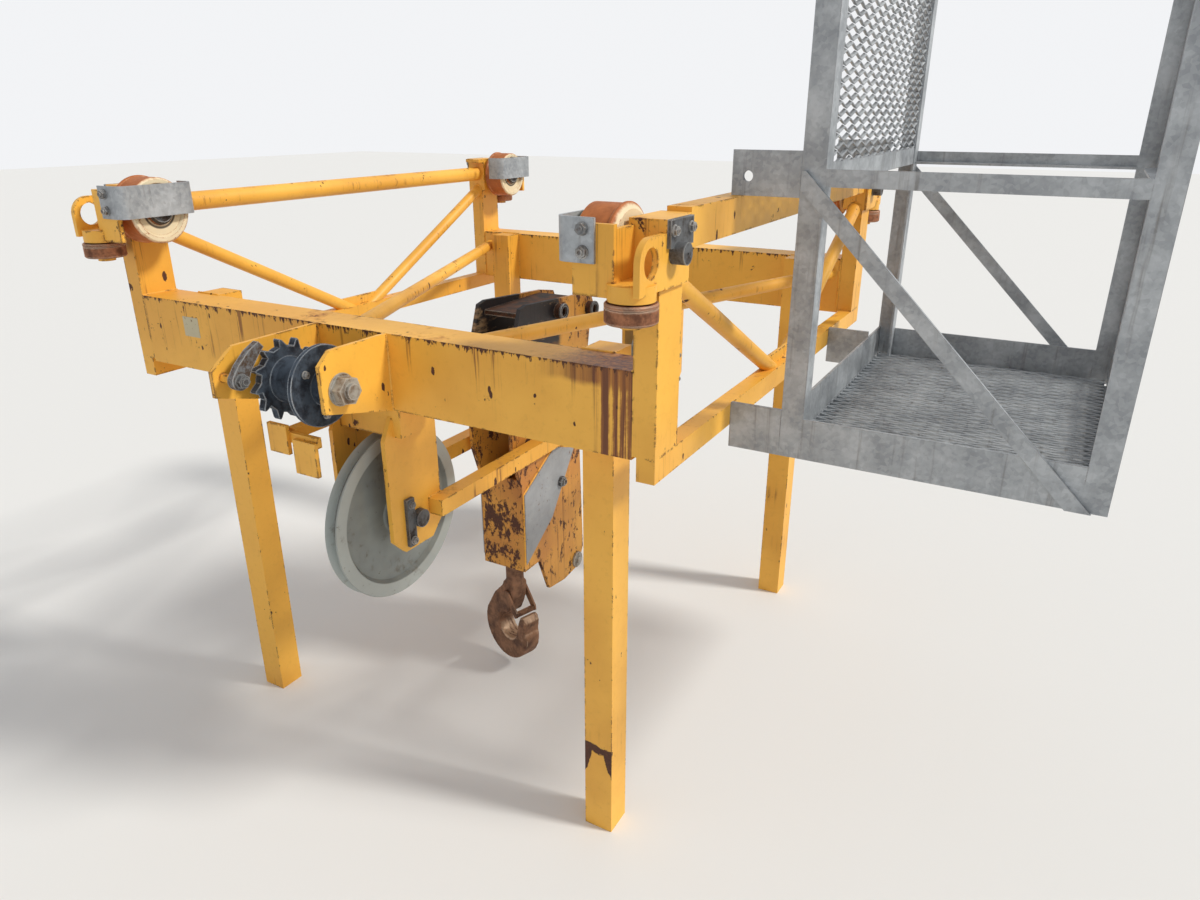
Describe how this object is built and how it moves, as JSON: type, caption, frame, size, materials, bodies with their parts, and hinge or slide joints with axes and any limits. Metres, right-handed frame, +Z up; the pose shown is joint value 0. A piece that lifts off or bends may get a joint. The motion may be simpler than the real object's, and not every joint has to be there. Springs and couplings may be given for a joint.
{
  "type": "tower crane trolley with hook block and service basket",
  "caption": "Jib trolley of a tower crane on assembly legs, with running wheels, guide rollers, a hand rope winch, rope pulleys, its hook block and a service basket.",
  "frame": {"origin": "on the floor below the middle of the whole outline", "axes": "+X across the jib towards the basket, +Y along the jib away from the rope winch, +Z up"},
  "size_m": [2.3564, 2.043, 2.203],
  "materials": {
    "yellow_paint": "golden yellow paint, chipped, with rust runs",
    "block_paint": "yellow paint worn down to rust",
    "galvanised_steel": "dull mottled galvanising",
    "wheel_paint": "cream paint with a rusty tread",
    "rusty_steel": "brown rusty steel",
    "pulley_grey": "light grey with a dark rope groove",
    "worn_steel": "dark blue-grey steel, bright on its edges",
    "greasy_steel": "steel covered in black grease",
    "forged_steel": "brown forged steel, rubbed bright in the bowl"
  },
  "bodies": {
    "frame": {"front_beam": "yellow_paint", "rear_beam": "yellow_paint", "left_front_post": "yellow_paint", "right_front_post": "yellow_paint", "left_rear_post": "yellow_paint", "right_rear_post": "yellow_paint", "front_legs": "yellow_paint", "rear_legs": "yellow_paint", "left_rail": "yellow_paint", "right_rail": "yellow_paint", "left_truss": "yellow_paint", "right_truss": "yellow_paint", "right_top_beam": "yellow_paint", "plan_bracing": "yellow_paint", "front_hanger": "yellow_paint", "rear_hanger": "yellow_paint", "tie_tubes": "yellow_paint", "winch_brackets": "yellow_paint", "rope_anchor": "yellow_paint", "wheel_guards": "galvanised_steel", "basket_posts": "galvanised_steel", "basket_toe_boards": "galvanised_steel", "basket_floor": "galvanised_steel", "basket_rails": "galvanised_steel", "basket_braces": "galvanised_steel", "basket_mesh": "galvanised_steel", "basket_brackets": "galvanised_steel", "wheel_axles": "worn_steel", "block_frame": "block_paint", "block_head": "greasy_steel"},
    "left_front_wheel": {"left_front_wheel": "wheel_paint"},
    "left_front_roller": {"left_front_roller": "rusty_steel"},
    "right_front_wheel": {"right_front_wheel": "wheel_paint"},
    "right_front_roller": {"right_front_roller": "rusty_steel"},
    "left_rear_wheel": {"left_rear_wheel": "wheel_paint"},
    "left_rear_roller": {"left_rear_roller": "rusty_steel"},
    "right_rear_wheel": {"right_rear_wheel": "wheel_paint"},
    "right_rear_roller": {"right_rear_roller": "rusty_steel"},
    "front_pulley": {"front_pulley": "pulley_grey"},
    "rear_pulley": {"rear_pulley": "pulley_grey"},
    "winch_drum": {"winch_drum": "worn_steel"},
    "winch_pawl": {"winch_pawl": "worn_steel"},
    "front_sheave": {"front_sheave": "greasy_steel"},
    "rear_sheave": {"rear_sheave": "greasy_steel"},
    "hook": {"hook": "forged_steel"},
    "hook_latch": {"hook_latch": "forged_steel"}
  },
  "joints": [
    {"name": "left_front_wheel_spin", "type": "hinge", "parent": "frame", "child": "left_front_wheel", "pos_m": [-1.02825, -0.7035, 1.473], "axis": [1, 0, 0], "continuous": true},
    {"name": "left_front_roller_spin", "type": "hinge", "parent": "frame", "child": "left_front_roller", "pos_m": [-1.11325, -0.7905, 1.38], "axis": [0, 0, 1], "continuous": true},
    {"name": "right_front_wheel_spin", "type": "hinge", "parent": "frame", "child": "right_front_wheel", "pos_m": [0.29875, -0.7035, 1.473], "axis": [1, 0, 0], "continuous": true},
    {"name": "right_front_roller_spin", "type": "hinge", "parent": "frame", "child": "right_front_roller", "pos_m": [0.38375, -0.7905, 1.38], "axis": [0, 0, 1], "continuous": true},
    {"name": "left_rear_wheel_spin", "type": "hinge", "parent": "frame", "child": "left_rear_wheel", "pos_m": [-1.02825, 0.8365, 1.473], "axis": [1, 0, 0], "continuous": true},
    {"name": "left_rear_roller_spin", "type": "hinge", "parent": "frame", "child": "left_rear_roller", "pos_m": [-1.11325, 0.9235, 1.38], "axis": [0, 0, 1], "continuous": true},
    {"name": "right_rear_wheel_spin", "type": "hinge", "parent": "frame", "child": "right_rear_wheel", "pos_m": [0.29875, 0.8365, 1.473], "axis": [1, 0, 0], "continuous": true},
    {"name": "right_rear_roller_spin", "type": "hinge", "parent": "frame", "child": "right_rear_roller", "pos_m": [0.38375, 0.9235, 1.38], "axis": [0, 0, 1], "continuous": true},
    {"name": "front_pulley_spin", "type": "hinge", "parent": "frame", "child": "front_pulley", "pos_m": [-0.32475, -0.6735, 0.785], "axis": [1, 0, 0], "continuous": true},
    {"name": "rear_pulley_spin", "type": "hinge", "parent": "frame", "child": "rear_pulley", "pos_m": [-0.32475, 0.8065, 0.785], "axis": [1, 0, 0], "continuous": true},
    {"name": "winch_drum_spin", "type": "hinge", "parent": "frame", "child": "winch_drum", "pos_m": [-0.36475, -0.8785, 1.168], "axis": [1, 0, 0], "continuous": true},
    {"name": "winch_pawl_pivot", "type": "hinge", "parent": "frame", "child": "winch_pawl", "pos_m": [-0.40675, -0.9965, 1.194], "axis": [1, 0, 0], "range_deg": [0, 55]},
    {"name": "front_sheave_spin", "type": "hinge", "parent": "frame", "child": "front_sheave", "pos_m": [-0.33475, -0.1515, 0.985], "axis": [1, 0, 0], "continuous": true},
    {"name": "rear_sheave_spin", "type": "hinge", "parent": "frame", "child": "rear_sheave", "pos_m": [-0.33475, 0.0545, 0.985], "axis": [1, 0, 0], "continuous": true},
    {"name": "hook_swivel", "type": "hinge", "parent": "frame", "child": "hook", "pos_m": [-0.33475, -0.1685, 0.3], "axis": [0, 0, 1], "continuous": true},
    {"name": "latch_pivot", "type": "hinge", "parent": "hook", "child": "hook_latch", "pos_m": [-0.33475, -0.1685, 0.292], "axis": [0.309, 0.9511, 0], "range_deg": [0, 26]}
  ]
}
